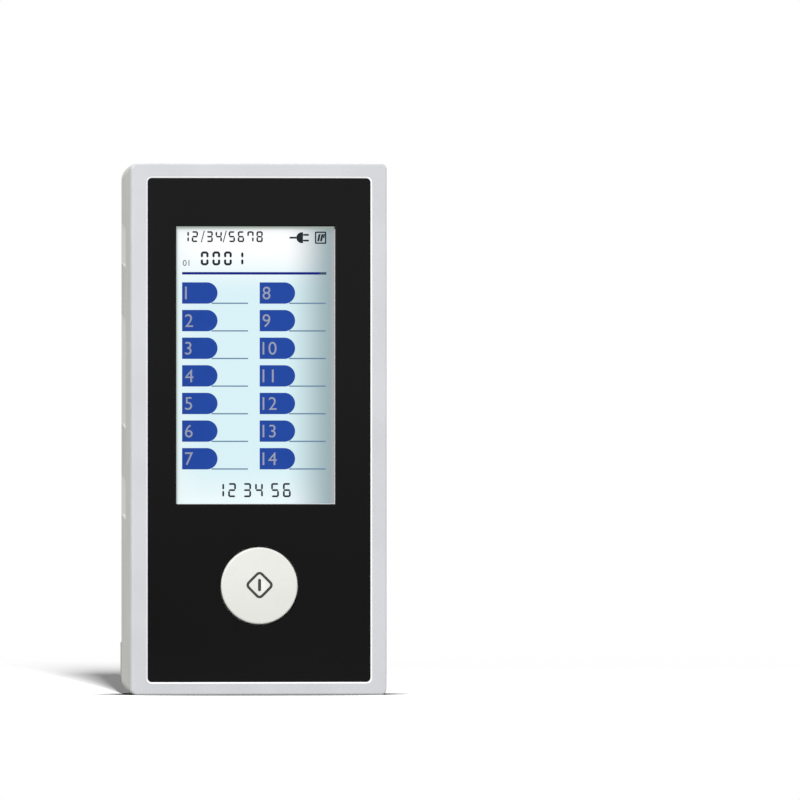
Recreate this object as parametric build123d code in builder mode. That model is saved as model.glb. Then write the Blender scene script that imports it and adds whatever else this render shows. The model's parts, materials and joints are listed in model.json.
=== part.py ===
from build123d import *
import math
import os

# Pocket urine analyzer, standing on its bottom end as it does on a counter. A silver front frame
# carries a black panel with the display window and one round start button. Behind it a deep grey
# case holds the circuit board, a motor-driven tray that slides out of the top end with the test
# strip in it, an optical head that reads the pads as they pass, and a flat rechargeable pack behind
# a cover in the back.
# Frame: X to the right, front face towards -Y, Z up. Origin: centre of the bottom end face.
# Sizes are in millimetres.

# ---------------------------------------------------------------- case
body_width = 54.0
body_height = 112.0
case_depth = 26.0
wall = 2.0
front_corner_r = 1.2
rear_corner_r = 3.5
rear_edge_r = 2.0
cavity_corner_r = 2.0
front_edge_r = 0.4
drive_from_top = 14.0

front_y = -case_depth / 2
rear_y = case_depth / 2
rear_wall_y = rear_y - wall
mid_z = body_height / 2
top_z = body_height
inner_half_width = body_width / 2 - wall
drive_z = body_height - drive_from_top

# ---------------------------------------------------------------- front frame and panel
frame_depth = 3.0
panel_thickness = 1.5
panel_sunk = 0.3
panel_gap = 0.1
bezel_side = 3.4
bezel_top = 3.1
bezel_bottom = 2.7
bezel_chamfer = 0.3
panel_corner_r = 0.9
lip_thickness = 0.9
lip_depth = 1.5
lip_clearance = 0.15

split_y = front_y + frame_depth
panel_front_y = front_y + panel_sunk
ledge_y = panel_front_y + panel_thickness
recess_width = body_width - 2 * bezel_side
recess_height = body_height - bezel_top - bezel_bottom
recess_z = bezel_bottom + recess_height / 2

# ---------------------------------------------------------------- display
window_width = 33.5
window_x = -0.75
window_bottom_z = 40.3
window_top_margin = 13.3
window_chamfer = 0.3
glass_border_x = 2.05
glass_border_z = 3.1
glass_thickness = 2.0
glass_gap = 0.2
light_inset_x = 0.6
light_inset_top = 1.5
light_inset_bottom = 3.5
light_thickness = 2.4
holder_rim = 0.9
holder_back = 0.4
holder_fit = 0.1
holder_hole_gap = 0.3
zebra_width = 30.0
zebra_height = 1.6
zebra_end_gap = 0.2

window_height = body_height - window_top_margin - window_bottom_z
window_z = window_bottom_z + window_height / 2
glass_width = window_width + 2 * glass_border_x
glass_height = window_height + 2 * glass_border_z
light_width = glass_width - 2 * light_inset_x
light_height = glass_height - light_inset_top - light_inset_bottom
light_z = window_z + (light_inset_bottom - light_inset_top) / 2
glass_front_y = ledge_y + glass_gap
glass_back_y = glass_front_y + glass_thickness
light_front_y = glass_back_y + holder_fit
light_back_y = light_front_y + light_thickness
holder_width = glass_width + 2 * holder_rim
holder_height = glass_height + 2 * holder_rim
zebra_z = window_z - glass_height / 2 + zebra_height / 2 + zebra_end_gap

# ---------------------------------------------------------------- main circuit board
board_side_gap = 1.5
board_end_gap = 7.4
board_thickness = 1.4
board_gap = 0.1
board_corner_r = 1.0

board_front_y = light_back_y + holder_fit + holder_back + board_gap
board_back_y = board_front_y + board_thickness
board_width = 2 * (inner_half_width - board_side_gap)
board_height = body_height - 2 * (wall + board_end_gap)

# ---------------------------------------------------------------- start button
button_z = 23.0
button_r = 8.1
button_gap = 0.25
button_proud = 0.6
button_crown = 0.25
button_wall = 1.2
button_travel = 0.5
button_edge_r = 0.4
flange_r = 9.3
flange_thickness = 0.8
collar_gap = 0.2
collar_wall = 1.1
collar_depth = 3.0
stem_r = 1.7
switch_size = 6.0
switch_height = 3.0
plunger_proud = 0.6
plunger_r = 1.6
plunger_gap = 0.1
plunger_root = 0.1
switch_floor = 0.2
switch_corner_r = 0.5
flange_gap = 0.1

button_front_y = front_y - button_proud
flange_front_y = split_y + flange_gap
switch_front_y = board_front_y - switch_height
plunger_front_y = switch_front_y - plunger_proud

# ---------------------------------------------------------------- fasteners
case_screw_inset_x = 5.2
case_screw_inset_z = 6.4
case_screw_r = 1.0
case_screw_length = 7.5
case_head_r = 1.8
case_head_height = 1.3
small_screw_r = 0.8
small_screw_length = 4.2
small_head_r = 1.4
small_head_height = 1.0
screw_end_gap = 0.3
hole_clearance = 0.12
thread_clearance = 0.03
boss_r = 3.3
post_r = 2.5
pilot_end_gap = 0.2
post_length = 11.9
boss_gap = 0.1
boss_floor = 2.0
board_post_r = 2.0
board_post_inset = 3.5
board_post_below_button = 10.8
board_post_above_button = 4.0

board_post_x = board_width / 2 - board_post_inset
board_post_zs = (button_z - board_post_below_button, button_z + board_post_above_button)
post_end_y = split_y + post_length
case_screw_x = body_width / 2 - case_screw_inset_x
case_screw_zs = (case_screw_inset_z, body_height - case_screw_inset_z)
boss_front_y = post_end_y + boss_gap
case_seat_y = boss_front_y + boss_floor

# ---------------------------------------------------------------- rechargeable pack and its cover
pack_width = 34.0
pack_bottom_z = 18.5
pack_below_drive = 29.5
pack_thickness = 4.0
pack_edge_r = 1.5
well_side_gap = 0.5
well_end_gap = 0.75
well_wall = 1.2
well_floor = 1.1
well_gap = 0.2
pack_fit = 0.05
pack_cover_gap = 0.15
cover_margin_side = 2.5
cover_margin_end = 2.25
cover_thickness = 1.65
cover_inset = 0.05
cover_step = 0.05
cover_gap = 0.15
cover_corner_r = 2.0
well_corner_r = 1.0
pad_margin = 1.5
pad_thickness = 1.4
hook_width = 5.0
hook_x = 12.0
hook_reach = 1.2
hook_rise = 1.5
hook_root = 0.4
hook_front_gap = 3.1
hook_slot_gap = 0.3
hook_sweep = 1.0
hook_wall_gap = 0.1
catch_x = 11.0
catch_width = 4.0
catch_height = 0.35
catch_thickness = 0.6
catch_setback = 0.3
catch_groove_gap = 0.2
thumb_r = 6.0
thumb_depth = 1.0
label_width = 32.0
label_height = 20.0
label_depth = 0.25
label_corner_r = 1.5
label_above_cover = 7.5

pack_top_z = drive_z - pack_below_drive
pack_height = pack_top_z - pack_bottom_z
cover_z = (pack_bottom_z + pack_top_z) / 2
well_width = pack_width + 2 * well_side_gap
well_height = pack_height + 2 * well_end_gap
cover_width = well_width + 2 * cover_margin_side
cover_height = well_height + 2 * cover_margin_end
cover_back_y = rear_y - cover_inset
cover_front_y = cover_back_y - cover_thickness
step_y = cover_front_y - cover_step
cover_bottom_z = cover_z - cover_height / 2
cover_top_z = cover_z + cover_height / 2
label_z = cover_top_z + label_above_cover + label_height / 2
hinge_r = cover_thickness / 2
hinge_y = cover_back_y - hinge_r
hinge_z = cover_bottom_z + hinge_r
catch_front_y = cover_front_y + catch_setback
hook_front_y = rear_y - hook_front_gap
hook_slot_y = hook_front_y - hook_sweep
pack_back_y = cover_front_y - pack_cover_gap
pack_front_y = pack_back_y - pack_thickness
well_bottom_y = pack_front_y - pack_fit
well_floor_y = well_bottom_y - well_floor

# ---------------------------------------------------------------- strip tray and its guide
strip_width = 5.0
strip_groove_gap = 0.2
strip_groove_depth = 0.9
tray_half_width = 5.5
tray_thickness = 2.9
tray_bottom_z = 4.5
tray_side_gap = 0.2
tray_front_gap = 0.2
tray_floor_gap = 0.1
tray_end_gap = 0.1
strip_stop_z = 10.0
tile_height = 4.0
tile_thickness = 0.5
tile_margin = 0.9
tile_fit = 0.05
rail_wall = 1.6
rail_lip = 0.9
rail_lip_depth = 0.8
guide_plate = 1.2
guide_left_x = -13.0
guide_right_x = 13.5
guide_bottom_z = 3.0
guide_top_gap = 1.4
wing_below_drive = 16.0
wing_above_drive = 4.0
cap_width = 18.0
cap_depth = 6.8
cap_gap = 0.2
cap_corner_r = 1.6
tongue_half_width = 4.0
tongue_height = 1.2
tongue_fit = 0.1
tongue_front_wall = 0.3
tongue_back_wall = 0.5
notch_r = 4.5
notch_depth = 1.1
notch_run = 1.6
cap_edge_r = 0.3
guide_screw_bite = 4.0
guide_screw_drive_distance = 6.38
guide_screw_motor_angle = 54.0
lug_r = 2.4

plate_back_y = well_floor_y - well_gap
plate_front_y = plate_back_y - guide_plate
tray_back_y = plate_front_y - tray_floor_gap
tray_front_y = tray_back_y - tray_thickness
tray_top_z = top_z - wall
groove_floor_y = tray_front_y + strip_groove_depth
lip_back_y = tray_front_y - tray_front_gap
lip_front_y = lip_back_y - rail_lip_depth
guide_top_z = top_z - wall - guide_top_gap
cap_y = (tray_front_y + tray_back_y) / 2
tongue_front_y = groove_floor_y + tongue_front_wall
tongue_back_y = tray_back_y - tongue_back_wall

# ---------------------------------------------------------------- drive
gear_module = 0.5
pressure_angle = 20.0
addendum = 0.35
dedendum = 0.5
backlash = 0.06
drive_pinion_teeth = 14
drive_gear_teeth = 36
motor_pinion_teeth = 12
rack_depth = 1.5
rack_low_gap = 9.5
rack_top_gap = 2.0
rack_face = 2.2
rack_tip_gap = 0.45
rack_setback = 0.1
rack_root_lap = 0.1
pinion_opening_gap = 0.8
gear_face_width = 1.2
gear_board_gap = 0.8
hub_r = 2.4
axle_r = 0.75
axle_clearance = 0.05
axle_press = 0.01
axle_board_gap = 0.15
axle_collar = 0.35
axle_collar_height = 0.15
gear_plate_gap = 0.2
gear_motor_gap = 0.9
clip_gap = 0.1
clip_mouth = 0.7
clip_root = 0.3
pinion_overhang = 0.1
shaft_overhang = 0.1
shaft_bore_gap = 0.05
shaft_end_gap = 1.0
shaft_tip_gap = 0.2
motor_edge_r = 0.4
clip_r = 1.7
clip_thickness = 0.3
motor_r = 5.0
motor_wall_gap = 0.2
motor_plate = 0.6
motor_shaft_r = 0.5
motor_boss_r = 1.2
motor_cup_wall = 0.7
motor_fit = 0.1
motor_cup_depth = 2.5
ear_angle = 60.0
ear_reach = 6.8
ear_r = 1.8

gear_front_y = board_back_y + gear_board_gap
gear_back_y = gear_front_y + gear_face_width
axle_front_y = board_back_y + axle_board_gap
rack_back_y = tray_back_y - rack_setback
rack_front_y = rack_back_y - rack_face
rack_pitch_x = tray_half_width + rack_depth
drive_x = rack_pitch_x + gear_module * drive_pinion_teeth / 2
motor_distance = gear_module * (drive_gear_teeth + motor_pinion_teeth) / 2
motor_x = inner_half_width - motor_wall_gap - motor_cup_wall - motor_fit - motor_r
motor_z = drive_z - math.sqrt(motor_distance**2 - (motor_x - drive_x) ** 2)
motor_front_y = gear_back_y + gear_motor_gap
motor_plate_y = motor_front_y - motor_plate
ear_x = ear_reach * math.cos(math.radians(ear_angle))
ear_z = ear_reach * math.sin(math.radians(ear_angle))
motor_ears = ((motor_x + ear_x, motor_z + ear_z), (motor_x - ear_x, motor_z - ear_z))
right_rail_x = rack_pitch_x + addendum + rack_tip_gap
rack_low_z = tray_bottom_z + rack_low_gap
rack_high_z = tray_top_z - rack_top_gap
wing_right_x = motor_x + ear_r
wing_bottom_z = drive_z - wing_below_drive
wing_top_z = drive_z + wing_above_drive
screw_direction = math.atan2(motor_z - drive_z, motor_x - drive_x) + math.radians(guide_screw_motor_angle)
guide_screws = (
    (-11.2, 8.2),
    (11.4, 8.2),
    (-11.2, drive_z + 3.0),
    (drive_x + guide_screw_drive_distance * math.cos(screw_direction),
     drive_z + guide_screw_drive_distance * math.sin(screw_direction)),
)

# ---------------------------------------------------------------- optical head
head_below_drive = 21.0
head_width = 14.0
head_height = 10.0
head_tray_gap = 0.2
head_board = 0.8
head_board_gap = 0.2
head_ear_x = 11.5
head_ear_height = 4.0
head_ear_thickness = 1.2
head_post_r = 1.8
head_ear_back_y = motor_front_y
led_offset_x = 3.6
led_offset_z = 2.8
led_r = 0.8
led_bore_r = 1.0
led_height = 1.1
sensor_size = 2.0
sensor_height = 0.9
sensor_bore_r = 1.6
lens_thickness = 0.5
lens_setback = 0.3
head_corner_r = 0.8
head_pin_pitch = 2.0
head_pin_rise = 3.6
head_pin_size = 0.6

head_z = drive_z - head_below_drive
head_back_y = lip_front_y - head_tray_gap
head_board_front_y = board_back_y + head_board_gap
head_front_y = head_board_front_y + head_board

# ---------------------------------------------------------------- feet
foot_bar_bottom_z = 3.5
foot_bar_top_z = 10.9
foot_bar_proud = 2.4
foot_bar_seat = 1.8
foot_bar_side_gap = 0.1
foot_bar_fit = 0.05
foot_bar_edge_r = 1.0
foot_block_top_z = 13.0
foot_pad_r = 3.0
foot_pad_fit = 0.1
foot_pad_seat = 0.6
foot_pad_proud = 1.0
foot_pad_edge_r = 0.4

# ---------------------------------------------------------------- side grip scoops
scoop_heights = (8.4, 23.2, 8.4)
scoop_pitch = 26.6
scoop_middle_rise = 11.6
scoop_front_y = 1.2
scoop_rear_y = 11.6
scoop_depth = 1.0
scoop_slant = 1.4

scoop_middle_z = mid_z + scoop_middle_rise

# ---------------------------------------------------------------- board components
socket_below_coin = 12.5
socket_width = 7.7
socket_height = 3.9
socket_length = 9.2
socket_wall = 0.35
socket_recess = 0.6
socket_hole_gap = 0.3
socket_back_wall = 1.0
socket_corner_r = 0.8
socket_inner_r = 0.5
tongue_mouth_gap = 1.4
tongue_width = 5.0
tongue_thickness = 1.0
connector_pack_inset = 1.0
connector_below_drive = 28.0
connector_corner_r = 0.3
connector_width = 5.6
connector_height = 6.0
connector_depth = 3.0
lead_r = 0.55
lead_spacing = 1.6
lead_bend_r = 2.6
lead_loop = 6.0
lead_hole_gap = 0.5
lead_wall_gap = 0.25
buzzer_x = -14.5
buzzer_z = 22.0
buzzer_r = 4.5
buzzer_height = 2.6
buzzer_hole_r = 0.8
coin_edge_gap = 1.0
coin_below_connector = 12.5
coin_r = 6.25
coin_thickness = 2.0
coin_clip = 0.4
coin_clip_gap = 0.1
coin_clip_half_width = 2.0
home_sensor_z = 13.7
home_sensor_half = 1.7
home_sensor_fit = 0.2
home_sensor_setback = 0.3

lead_y = rear_wall_y - pad_thickness - lead_wall_gap - lead_r
coin_x = board_width / 2 - coin_edge_gap - coin_r
connector_x = pack_width / 2 - connector_pack_inset
connector_z = drive_z - connector_below_drive
connector_top_z = connector_z + connector_height / 2
lead_top_z = connector_top_z + lead_loop
coin_z = connector_z - coin_below_connector
socket_z = coin_z - socket_below_coin


# ================================================================ helpers
def facing_front(y):
    """Plane at depth y on which sketches read X to the right and Z up."""
    return Plane.XZ.offset(-y)


def block(x, z, width, height, y_front, y_rear, corner_r=0.0, mode=Mode.ADD):
    """Adds or cuts an upright block, centred on x and z, between two depths."""
    with BuildSketch(facing_front(y_rear)) as face:
        with Locations((x, z)):
            if corner_r > 0:
                RectangleRounded(width, height, corner_r)
            else:
                Rectangle(width, height)
    extrude(face.sketch, amount=y_rear - y_front, mode=mode)


def span(x_low, x_high, z_low, z_high, y_front, y_rear, mode=Mode.ADD):
    """Adds or cuts a block given by its edges."""
    middle = ((x_low + x_high) / 2, (z_low + z_high) / 2)
    block(*middle, x_high - x_low, z_high - z_low, y_front, y_rear, mode=mode)


def peg(x, z, radius, y_front, y_rear, mode=Mode.ADD):
    """Adds or cuts a round peg along Y."""
    with BuildSketch(facing_front(y_rear)) as face:
        with Locations((x, z)):
            Circle(radius)
    extrude(face.sketch, amount=y_rear - y_front, mode=mode)


def screw(x, z, seat_y, shank_r, length, head_r, head_height, towards):
    """Adds a cross-head screw. Its head sits on seat_y and its shank runs to the front (-1) or rear (+1)."""
    tip_y = seat_y + towards * length
    head_y = seat_y - towards * head_height
    slot = head_height / 2
    peg(x, z, shank_r, min(seat_y, tip_y), max(seat_y, tip_y))
    peg(x, z, head_r, min(seat_y, head_y), max(seat_y, head_y))
    slot_y = head_y + towards * slot
    for width, height in ((head_r * 1.2, head_r * 0.28), (head_r * 0.28, head_r * 1.2)):
        block(x, z, width, height, min(head_y, slot_y), max(head_y, slot_y), mode=Mode.SUBTRACT)


def involute(base_r, r):
    """Angle by which an involute has turned from its start when it reaches radius r."""
    pressure = math.acos(min(1.0, base_r / r))
    return math.tan(pressure) - pressure


def gear_outline(teeth, first_tooth_deg):
    """Closed outline of an involute gear round the sketch's origin, one tooth centred on the given angle."""
    pitch_r = gear_module * teeth / 2
    base_r = pitch_r * math.cos(math.radians(pressure_angle))
    tip_r = pitch_r + addendum
    root_r = pitch_r - dedendum
    flank_r = max(root_r, base_r)
    pitch_half = math.pi / (2 * teeth) - backlash / (2 * pitch_r) + involute(base_r, pitch_r)

    def flank_point(r, middle, side):
        angle = middle + side * (pitch_half - involute(base_r, max(r, base_r)))
        return (r * math.cos(angle), r * math.sin(angle))

    with BuildLine() as outline:
        for k in range(teeth):
            middle = math.radians(first_tooth_deg) + 2 * math.pi * k / teeth
            following = middle + 2 * math.pi / teeth
            radii = (flank_r, (flank_r + tip_r) / 2, tip_r)
            rise = [flank_point(r, middle, -1) for r in radii]
            fall = [flank_point(r, middle, 1) for r in reversed(radii)]
            root_end = flank_point(root_r, middle, 1)
            next_root = flank_point(root_r, following, -1)
            ThreePointArc(*rise)
            ThreePointArc(rise[2], (tip_r * math.cos(middle), tip_r * math.sin(middle)), fall[0])
            ThreePointArc(*fall)
            if root_r < flank_r - 1e-6:
                Line(fall[2], root_end)
            gap = middle + math.pi / teeth
            ThreePointArc(root_end, (root_r * math.cos(gap), root_r * math.sin(gap)), next_root)
            if root_r < flank_r - 1e-6:
                Line(next_root, flank_point(flank_r, following, -1))
    return outline


def toothed(x, z, teeth, first_tooth_deg, y_front, y_rear):
    """Adds a gear on an axle along Y."""
    outline = gear_outline(teeth, first_tooth_deg)
    with BuildSketch(Plane((x, y_rear, z), x_dir=(1, 0, 0), z_dir=(0, -1, 0))) as face:
        make_face(outline.edges())
    extrude(face.sketch, amount=y_rear - y_front)


def round_corner(side, end, front_r, rear_r):
    """Rounds one long corner of the case, side -1 or 1 and end -1 (bottom) or 1 (top), rounder to the rear."""
    corner_x = side * body_width / 2
    corner_z = mid_z + end * body_height / 2
    sections = []
    for y, radius in ((split_y, front_r), (rear_y, rear_r)):
        centre_x = corner_x - side * radius
        centre_z = corner_z - end * radius
        bulge = radius / math.sqrt(2)
        with BuildSketch(facing_front(y)) as section:
            with BuildLine():
                ThreePointArc(
                    (corner_x, centre_z),
                    (centre_x + side * bulge, centre_z + end * bulge),
                    (centre_x, corner_z),
                )
                Polyline(
                    (centre_x, corner_z),
                    (centre_x, corner_z + end),
                    (corner_x + side, corner_z + end),
                    (corner_x + side, centre_z),
                    (corner_x, centre_z),
                )
            make_face()
        sections.append(section.sketch)
    loft(sections, ruled=True, mode=Mode.SUBTRACT)


def grip_scoop(middle_z, height, side):
    """Cuts a thumb scoop in a side wall: deepest at its crisp front edge, running out towards the rear."""
    length = scoop_rear_y - scoop_front_y
    floor = Plane(
        (side * (body_width / 2 - scoop_depth), scoop_front_y, middle_z),
        x_dir=(side * scoop_depth, length, 0),
        z_dir=(side * length, -scoop_depth, 0),
    )
    run = math.hypot(length, scoop_depth)
    half = height / 2
    with BuildSketch(floor) as outline:
        with BuildLine():
            Polyline(
                (0, -side * half),
                (0, side * half),
                (run, side * (half + scoop_slant)),
                (run, side * (scoop_slant - half)),
                close=True,
            )
        make_face()
    extrude(outline.sketch, amount=2 * scoop_depth, mode=Mode.SUBTRACT)


def export(builder, name):
    """Labels a finished piece and writes it as its own file."""
    builder.part.label = name
    export_step(builder.part, f"parts/{name}.step")


os.makedirs("parts", exist_ok=True)


# ================================================================ front frame
# Silver moulded frame: a plate with a sunk seat for the black panel, an opening for the display, a
# guided hole for the button, a lip that enters the rear case, and the posts that take the screws.
with BuildPart() as front_frame:
    block(0, mid_z, body_width, body_height, front_y, split_y, front_corner_r)
    fillet(front_frame.faces().sort_by(Axis.Y)[0].edges(), radius=front_edge_r)
    lip_width = 2 * (inner_half_width - lip_clearance)
    lip_height = body_height - 2 * (wall + lip_clearance)
    block(0, mid_z, lip_width, lip_height, split_y, split_y + lip_depth, cavity_corner_r - lip_clearance)
    block(0, mid_z, lip_width - 2 * lip_thickness, lip_height - 2 * lip_thickness,
          split_y, split_y + lip_depth, cavity_corner_r - lip_clearance - lip_thickness, mode=Mode.SUBTRACT)
    block(0, recess_z, recess_width, recess_height, front_y, ledge_y, panel_corner_r, mode=Mode.SUBTRACT)
    rim = front_frame.faces().filter_by(Plane.XZ).sort_by(Axis.Y)[0].inner_wires()[0]
    chamfer(rim.edges(), length=bezel_chamfer)
    block(window_x, window_z, holder_width + 2 * holder_hole_gap, holder_height + 2 * holder_hole_gap,
          ledge_y, split_y, mode=Mode.SUBTRACT)
    peg(0, button_z, flange_r + collar_gap + collar_wall, split_y, split_y + collar_depth)
    peg(0, button_z, flange_r + collar_gap, split_y, split_y + collar_depth, mode=Mode.SUBTRACT)
    peg(0, button_z, button_r + button_gap, ledge_y, split_y, mode=Mode.SUBTRACT)
    for side in (-1, 1):
        for z in case_screw_zs:
            peg(side * case_screw_x, z, post_r, split_y, post_end_y)
            peg(side * case_screw_x, z, case_screw_r + thread_clearance,
                post_end_y - case_screw_length, post_end_y, mode=Mode.SUBTRACT)
        for z in board_post_zs:
            peg(side * board_post_x, z, board_post_r, split_y, board_front_y)
            peg(side * board_post_x, z, small_screw_r + thread_clearance,
                board_front_y - small_screw_length, board_front_y, mode=Mode.SUBTRACT)
export(front_frame, "front_frame")

# Black glossy panel, laid into the frame's seat, with the display window and the button's hole.
with BuildPart() as front_panel:
    block(0, recess_z, recess_width - 2 * panel_gap, recess_height - 2 * panel_gap,
          panel_front_y, ledge_y, panel_corner_r - panel_gap)
    block(window_x, window_z, window_width, window_height, panel_front_y, ledge_y, mode=Mode.SUBTRACT)
    peg(0, button_z, button_r + button_gap, panel_front_y, ledge_y, mode=Mode.SUBTRACT)
    window_edges = front_panel.faces().sort_by(Axis.Y)[0].inner_wires().sort_by(Axis.Z)[-1].edges()
    chamfer(window_edges, length=window_chamfer)
export(front_panel, "front_panel")

# ================================================================ start button
# Round cap with a thin crowned face, a retaining flange behind the frame and a stem on the switch.
with BuildPart() as start_button:
    with BuildSketch(Plane.YZ) as half_section:
        with BuildLine():
            rim_y = button_front_y + button_crown
            crown_r = (button_r**2 + button_crown**2) / (2 * button_crown)
            crown_y = button_front_y + crown_r - math.sqrt(crown_r**2 - (button_r / 2) ** 2)
            ThreePointArc((button_front_y, button_z), (crown_y, button_z + button_r / 2), (rim_y, button_z + button_r))
            Polyline(
                (rim_y, button_z + button_r),
                (flange_front_y, button_z + button_r),
                (flange_front_y, button_z + flange_r),
                (flange_front_y + flange_thickness, button_z + flange_r),
                (flange_front_y + flange_thickness, button_z + button_r - button_wall),
                (rim_y + button_wall, button_z + button_r - button_wall),
                (rim_y + button_wall, button_z + stem_r),
                (plunger_front_y, button_z + stem_r),
                (plunger_front_y, button_z),
                (button_front_y, button_z),
            )
        make_face()
        fillet(half_section.vertices().sort_by_distance((rim_y, button_z + button_r))[0], radius=button_edge_r)
    revolve(axis=Axis((0, 0, button_z), (0, 1, 0)))
export(start_button, "start_button")

# Tact switch on the board's front, and the plunger that the button's stem pushes.
with BuildPart() as tact_switch:
    block(0, button_z, switch_size, switch_size, switch_front_y, board_front_y, switch_corner_r)
    peg(0, button_z, plunger_r + plunger_gap, switch_front_y,
        switch_front_y + plunger_root + button_travel + switch_floor, mode=Mode.SUBTRACT)
export(tact_switch, "tact_switch")

with BuildPart() as tact_plunger:
    peg(0, button_z, plunger_r, plunger_front_y, switch_front_y + plunger_root)
export(tact_plunger, "tact_plunger")

# ================================================================ display module
with BuildPart() as display_glass:
    block(window_x, window_z, glass_width, glass_height, glass_front_y, glass_back_y)
export(display_glass, "display_glass")

with BuildPart() as display_backlight:
    block(window_x, light_z, light_width, light_height, light_front_y, light_back_y)
export(display_backlight, "display_backlight")

# White plastic holder: a seat for the glass, a pocket for the light guide and a slot for the strip
# of conductive rubber that joins the glass to the board.
with BuildPart() as display_holder:
    block(window_x, window_z, holder_width, holder_height,
          ledge_y + holder_fit, light_back_y + holder_fit + holder_back)
    block(window_x, window_z, glass_width + 2 * holder_fit, glass_height + 2 * holder_fit,
          ledge_y, light_front_y - holder_fit, mode=Mode.SUBTRACT)
    block(window_x, light_z, light_width + 2 * holder_fit, light_height + 2 * holder_fit,
          light_front_y - holder_fit, light_back_y + holder_fit, mode=Mode.SUBTRACT)
    block(window_x, zebra_z, zebra_width + 2 * holder_fit, zebra_height + 2 * holder_fit,
          light_front_y - holder_fit, light_back_y + holder_fit + holder_back, mode=Mode.SUBTRACT)
export(display_holder, "display_holder")

with BuildPart() as display_connector_strip:
    block(window_x, zebra_z, zebra_width, zebra_height, glass_back_y, board_front_y)
export(display_connector_strip, "display_connector_strip")

# ================================================================ main board and what is on it
with BuildPart() as main_board:
    block(0, mid_z, board_width, board_height,
          board_front_y, board_back_y, board_corner_r)
    for side in (-1, 1):
        for z in board_post_zs:
            peg(side * board_post_x, z, small_screw_r + hole_clearance, board_front_y, board_back_y, mode=Mode.SUBTRACT)
export(main_board, "main_board")

with BuildPart() as board_screws:
    for side in (-1, 1):
        for z in board_post_zs:
            screw(side * board_post_x, z, board_back_y, small_screw_r,
                  small_screw_length + board_thickness - screw_end_gap, small_head_r, small_head_height, towards=-1)
export(board_screws, "board_screws")

# Processor, memory, regulator, charger and motor driver: x, z, width, height, thickness.
chip_places = (
    (-13.5, head_z - 15.0, 12.0, 12.0, 1.4),
    (-16.5, head_z - 3.0, 5.2, 5.2, 1.1),
    (-15.5, socket_z, 4.9, 3.9, 1.2),
    (-15.0, head_z + 13.0, 6.5, 4.4, 1.1),
    (14.0, socket_z - 9.0, 4.0, 4.0, 0.9),
)
with BuildPart() as board_chips:
    for x, z, width, height, thickness in chip_places:
        block(x, z, width, height, board_back_y, board_back_y + thickness)
export(board_chips, "board_chips")

with BuildPart() as buzzer:
    peg(buzzer_x, buzzer_z, buzzer_r, board_back_y, board_back_y + buzzer_height)
    peg(buzzer_x, buzzer_z, buzzer_hole_r, board_back_y + buzzer_height / 2, board_back_y + buzzer_height,
        mode=Mode.SUBTRACT)
export(buzzer, "buzzer")

# Coin cell that keeps the clock running, in its spring clip.
coin_front_y = board_back_y + coin_clip
coin_back_y = coin_front_y + coin_thickness
with BuildPart() as clock_cell:
    peg(coin_x, coin_z, coin_r, coin_front_y, coin_back_y)
export(clock_cell, "clock_cell")

with BuildPart() as clock_cell_clip:
    clip_half = coin_r + coin_clip + coin_clip_gap
    clip_left_x = coin_x - coin_clip_half_width
    clip_right_x = coin_x + coin_clip_half_width
    span(clip_left_x, clip_right_x, coin_z - clip_half, coin_z + clip_half, board_back_y, coin_back_y + coin_clip)
    span(clip_left_x, clip_right_x, coin_z - clip_half + coin_clip, coin_z + clip_half - coin_clip,
         coin_front_y, coin_back_y, mode=Mode.SUBTRACT)
export(clock_cell_clip, "clock_cell_clip")

# Charging and data socket on the board's right edge: a steel shell round a plastic tongue.
socket_right_x = body_width / 2 - socket_recess
socket_left_x = socket_right_x - socket_length
socket_back_y = board_back_y + socket_height
socket_mid_y = (board_back_y + socket_back_y) / 2
with BuildPart() as socket_shell:
    with BuildSketch(Plane.YZ.offset(socket_left_x)):
        with Locations((socket_mid_y, socket_z)):
            RectangleRounded(socket_height, socket_width, socket_corner_r)
    extrude(amount=socket_length)
    with BuildSketch(Plane.YZ.offset(socket_left_x + socket_back_wall)):
        with Locations((socket_mid_y, socket_z)):
            RectangleRounded(socket_height - 2 * socket_wall, socket_width - 2 * socket_wall, socket_inner_r)
    extrude(amount=socket_length, mode=Mode.SUBTRACT)
export(socket_shell, "socket_shell")

with BuildPart() as socket_tongue:
    with BuildSketch(Plane.YZ.offset(socket_left_x + socket_back_wall)):
        with Locations((socket_mid_y, socket_z)):
            Rectangle(tongue_thickness, tongue_width)
    extrude(amount=socket_length - socket_back_wall - tongue_mouth_gap)
export(socket_tongue, "socket_tongue")

# Plug and header for the pack, its leads entering from above.
connector_back_y = board_back_y + connector_depth
with BuildPart() as pack_connector:
    block(connector_x, connector_z, connector_width, connector_height,
          board_back_y, connector_back_y, connector_corner_r)
export(pack_connector, "pack_connector")

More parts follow.
